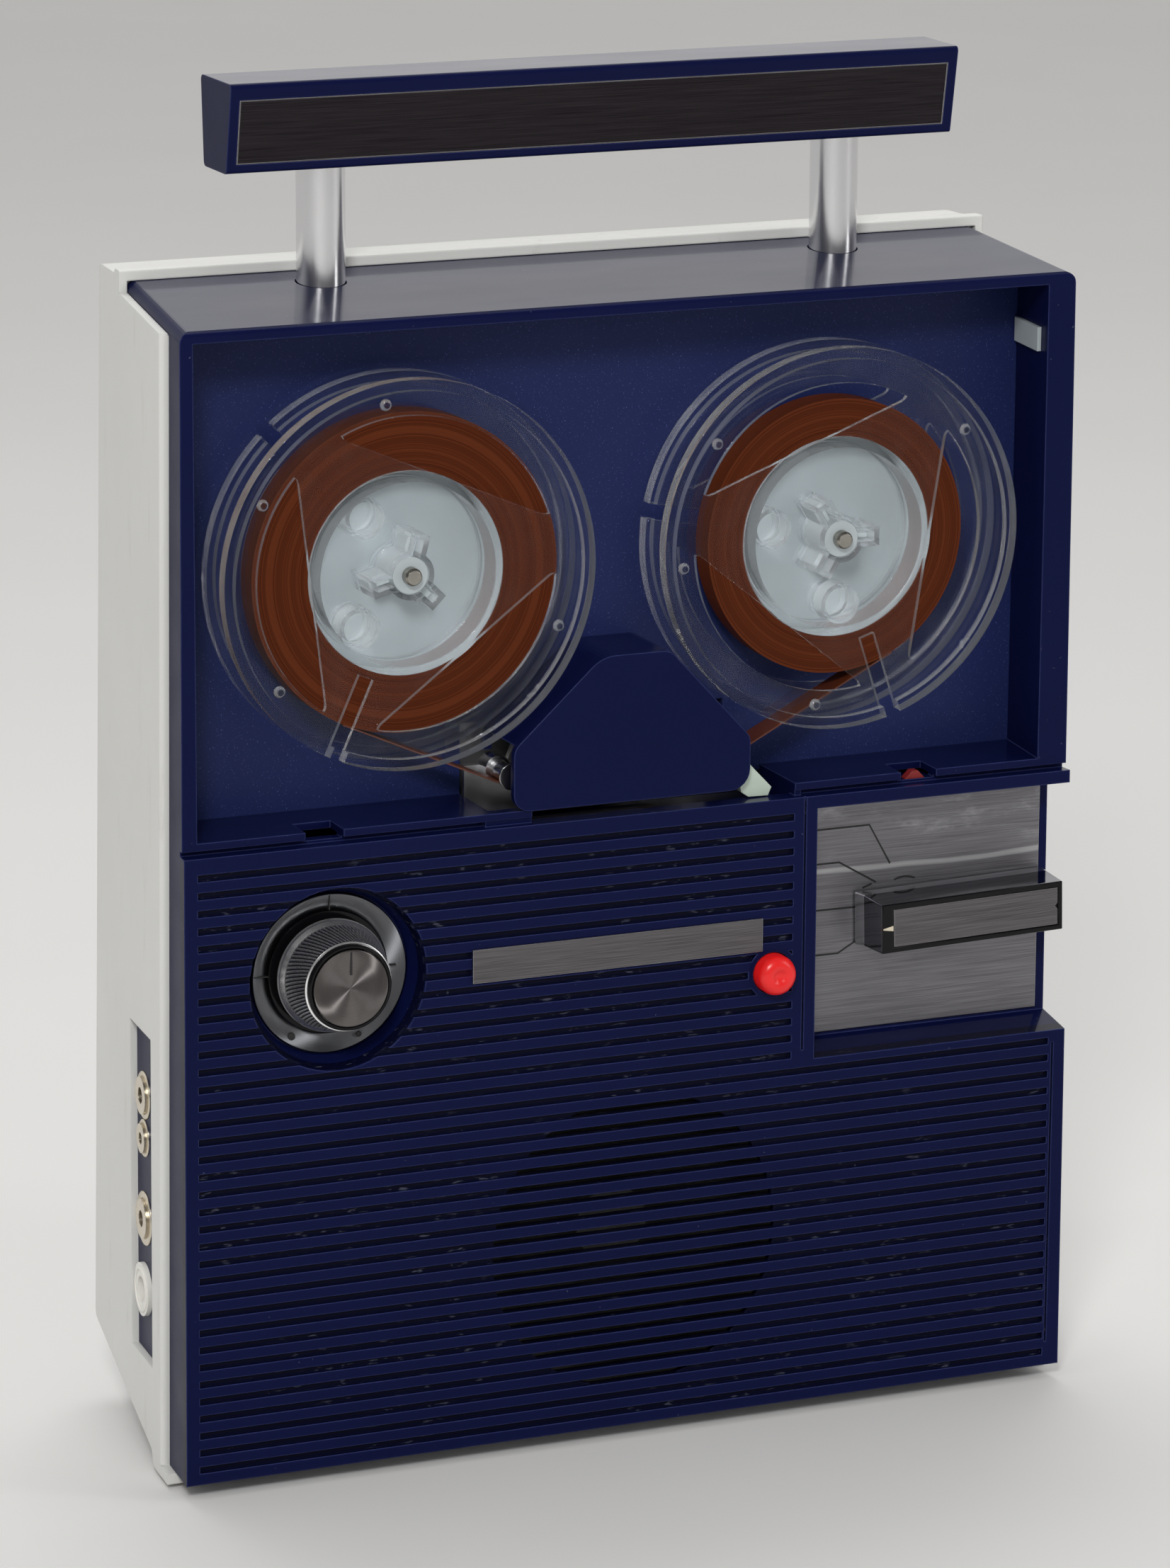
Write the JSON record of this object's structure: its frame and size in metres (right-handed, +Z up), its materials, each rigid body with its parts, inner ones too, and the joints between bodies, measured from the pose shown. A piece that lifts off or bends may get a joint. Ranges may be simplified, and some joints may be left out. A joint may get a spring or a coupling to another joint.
{
  "type": "reel-to-reel tape recorder",
  "caption": "Upright portable reel-to-reel tape recorder: open reel well, head cover, ribbed front with volume control, record button and bar selector, pull-up handle, side sockets.",
  "frame": {"origin": "on the table, below the middle of the recorder's overall box with the handle pulled out", "axes": "+X to the right seen from the front, +Y from the front to the back, +Z up"},
  "size_m": [0.208, 0.0808, 0.2957],
  "materials": {
    "navy_plastic": "glossy moulded navy plastic",
    "deck_paint": "fine speckled navy paint on steel",
    "grey_plastic": "satin light grey moulding",
    "clear_plastic": "clear polystyrene",
    "magnetic_tape": "brown tape wound edge to edge",
    "pale_plastic": "pale blue plastic",
    "bright_steel": "polished plated steel",
    "plain_steel": "plain steel",
    "spun_aluminium": "spun or brushed aluminium",
    "dark_trim": "dark brushed trim",
    "dark_plastic": "dark plastic",
    "knob_plastic": "knurled dark grey plastic",
    "red_plastic": "glossy red plastic",
    "white_plastic": "white plastic",
    "brass": "turned brass",
    "zinc": "turned casting",
    "black_rubber": "black rubber",
    "felt": "felt",
    "cell_jacket": "cell jacket",
    "board": "board with components",
    "speaker_mix": "paper cone in a painted frame with a magnet"
  },
  "bodies": {
    "case": {"front_case": "navy_plastic", "back_shell": "grey_plastic", "deck_plate": "deck_paint", "chassis_plate": "plain_steel", "case_screws": "plain_steel", "feet": "black_rubber", "battery_tray": "dark_plastic", "battery_contacts": "plain_steel", "battery_cells": "cell_jacket", "post_sleeves": "dark_plastic", "bearing_bushes": "brass", "tape_run": "magnetic_tape", "head_cover": "navy_plastic", "head_bracket": "plain_steel", "record_play_head": "bright_steel", "erase_head": "white_plastic", "pressure_pads": "felt", "tape_guides": "bright_steel", "motor": "plain_steel", "drive_bracket": "plain_steel", "drive_belt": "black_rubber", "takeup_belt": "black_rubber", "volume_dial": "spun_aluminium", "volume_pot": "plain_steel", "record_spring": "plain_steel", "name_plate": "spun_aluminium", "selector_plate": "spun_aluminium", "selector_switch": "dark_plastic", "jack_plate": "navy_plastic", "jack_sockets": "bright_steel", "power_inlet": "white_plastic", "lid_catch": "pale_plastic", "notch_tab": "red_plastic", "speaker": "speaker_mix", "circuit_board": "board"},
    "handle": {"handle_grip": "navy_plastic", "handle_inlay": "dark_trim", "handle_posts": "bright_steel"},
    "left_table": {"left_turntable": "pale_plastic", "left_spindle": "plain_steel", "left_reel": "clear_plastic", "left_tape_pack": "magnetic_tape"},
    "right_table": {"right_turntable": "pale_plastic", "right_spindle": "plain_steel", "right_reel": "clear_plastic", "right_tape_pack": "magnetic_tape", "takeup_pulley": "spun_aluminium"},
    "flywheel": {"flywheel": "zinc", "capstan": "bright_steel"},
    "motor_rotor": {"motor_pulley": "brass"},
    "pinch_arm": {"pinch_arm": "pale_plastic"},
    "pinch_roller": {"pinch_roller": "black_rubber"},
    "volume": {"volume_knob": "knob_plastic", "volume_cap": "spun_aluminium"},
    "button": {"record_button": "red_plastic"},
    "selector": {"selector_knob": "bright_steel", "selector_inlay": "spun_aluminium"},
    "door": {"battery_door": "grey_plastic"}
  },
  "joints": [
    {"name": "handle_slide", "type": "slide", "parent": "case", "child": "handle", "axis": [0, 0, 1], "range_m": [-0.023, 0]},
    {"name": "left_reel_turn", "type": "hinge", "parent": "case", "child": "left_table", "pos_m": [-0.0503, -0.02249, 0.1945], "axis": [0, -1, 0], "continuous": true},
    {"name": "right_reel_turn", "type": "hinge", "parent": "case", "child": "right_table", "pos_m": [0.0483, -0.02249, 0.1945], "axis": [0, -1, 0], "continuous": true},
    {"name": "flywheel_turn", "type": "hinge", "parent": "case", "child": "flywheel", "pos_m": [0.0115, -0.00379, 0.1449], "axis": [0, -1, 0], "continuous": true},
    {"name": "motor_turn", "type": "hinge", "parent": "case", "child": "motor_rotor", "pos_m": [-0.048, -0.00379, 0.122], "axis": [0, -1, 0], "continuous": true},
    {"name": "pinch_swing", "type": "hinge", "parent": "case", "child": "pinch_arm", "pos_m": [0.0213, -0.02249, 0.1526], "axis": [0, 1, 0], "range_deg": [-5.8, 0], "stiffness_Nm_per_rad": 0.05, "springref_deg": 11.46},
    {"name": "roller_turn", "type": "hinge", "parent": "pinch_arm", "child": "pinch_roller", "pos_m": [0.0115, -0.02249, 0.1531], "axis": [0, -1, 0], "continuous": true},
    {"name": "volume_turn", "type": "hinge", "parent": "case", "child": "volume", "pos_m": [-0.0683, -0.03309, 0.1108], "axis": [0, 1, 0], "range_deg": [-140, 140]},
    {"name": "button_press", "type": "slide", "parent": "case", "child": "button", "axis": [0, 1, 0], "range_m": [0, 0.0025], "stiffness_N_per_m": 400, "springref_m": -0.002, "deforming": ["record_spring"]},
    {"name": "selector_turn", "type": "hinge", "parent": "case", "child": "selector", "pos_m": [0.0778, -0.03309, 0.1098], "axis": [0, 1, 0], "range_deg": [-16, 32]},
    {"name": "door_swing", "type": "hinge", "parent": "case", "child": "door", "pos_m": [0, 0.03661, 0.08789], "axis": [1, 0, 0], "range_deg": [0, 95]}
  ],
  "couplings": [
    {"joint": "motor_turn", "follows": "flywheel_turn", "ratio": 5.4944}
  ]
}
